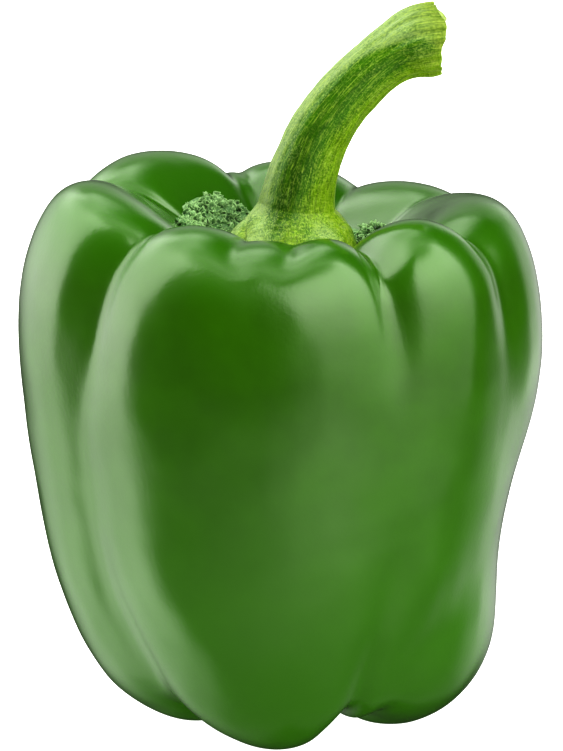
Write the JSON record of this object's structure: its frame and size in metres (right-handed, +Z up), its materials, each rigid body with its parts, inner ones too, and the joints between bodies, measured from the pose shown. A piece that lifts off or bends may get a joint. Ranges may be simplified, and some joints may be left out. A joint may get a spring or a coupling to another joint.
{
  "type": "bell pepper",
  "caption": "Blocky green bell pepper standing upright: glossy pod with deep rounded lobes round a hollow top, and a thick bent stem with a flared cut end.",
  "frame": {"origin": "on the ground, under the middle of the whole part's footprint", "axes": "+Z up along the pod, +X towards the side the stem leans to, -Y the front"},
  "size_m": [0.0902, 0.0864, 0.1275],
  "materials": {
    "skin": "waxy glossy green pepper skin",
    "stem": "fibrous fresh yellow-green stalk, fine streaks",
    "crust": "dry crinkled grey-green tissue"
  },
  "bodies": {
    "root": {"fruit": "skin", "stem": "stem", "calyx_crust": "crust"}
  },
  "joints": []
}
